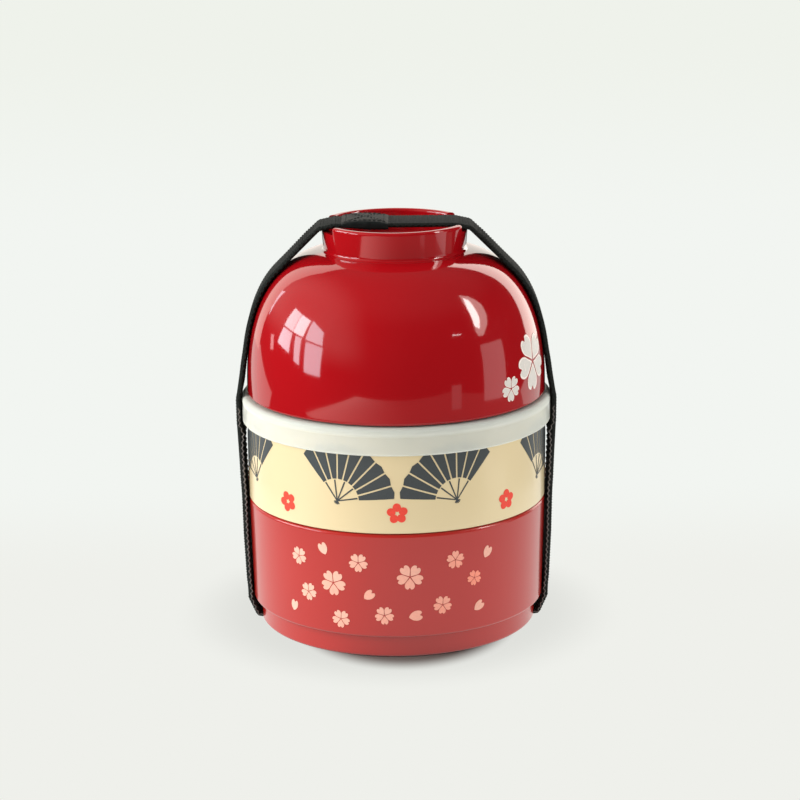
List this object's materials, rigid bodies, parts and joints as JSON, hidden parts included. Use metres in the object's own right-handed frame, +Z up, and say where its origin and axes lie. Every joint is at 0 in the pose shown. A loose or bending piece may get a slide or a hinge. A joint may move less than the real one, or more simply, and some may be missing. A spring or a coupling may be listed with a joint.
{
  "type": "bento box",
  "caption": "Round stacked lunch box: nesting food tiers, a milky inner lid and an upturned soup bowl as cover, held by an elastic belt with a sewn sleeve.",
  "frame": {"origin": "centre of the base, on the table, on the common axis of the tiers", "axes": "+Z up along the tiers' common axis; -Y is the front, with the decoration; the belt runs round the stack in the XZ plane"},
  "size_m": [0.109, 0.105, 0.1388],
  "materials": {
    "red_gloss": "smooth glossy lacquered red",
    "cream_gloss": "smooth glossy cream",
    "milky_lid": "milky translucent polyethylene with a satin surface",
    "deep_red_gloss": "very glossy deep red lacquer",
    "elastic": "flat woven black elastic",
    "sleeve_cloth": "fine-grained black artificial leather, sewn"
  },
  "bodies": {
    "lower_tier": {"lower_tier": "red_gloss", "elastic_belt": "elastic"},
    "upper_tier": {"upper_tier": "cream_gloss"},
    "inner_lid": {"inner_lid": "milky_lid"},
    "bowl": {"bowl": "deep_red_gloss"},
    "belt_top": {"belt_patch": "sleeve_cloth"}
  },
  "joints": [
    {"name": "upper_tier_lift", "type": "slide", "parent": "lower_tier", "child": "upper_tier", "axis": [0, 0, 1], "range_m": [0, 0.05], "deforming": ["elastic_belt"]},
    {"name": "inner_lid_lift", "type": "slide", "parent": "upper_tier", "child": "inner_lid", "axis": [0, 0, 1], "range_m": [0, 0.04], "deforming": ["elastic_belt"]},
    {"name": "bowl_lift", "type": "slide", "parent": "inner_lid", "child": "bowl", "axis": [0, 0, 1], "range_m": [0, 0.05], "deforming": ["elastic_belt"]},
    {"name": "belt_pull", "type": "slide", "parent": "bowl", "child": "belt_top", "axis": [0, 0, 1], "range_m": [0, 0.03], "stiffness_N_per_m": 100, "deforming": ["elastic_belt"]}
  ]
}
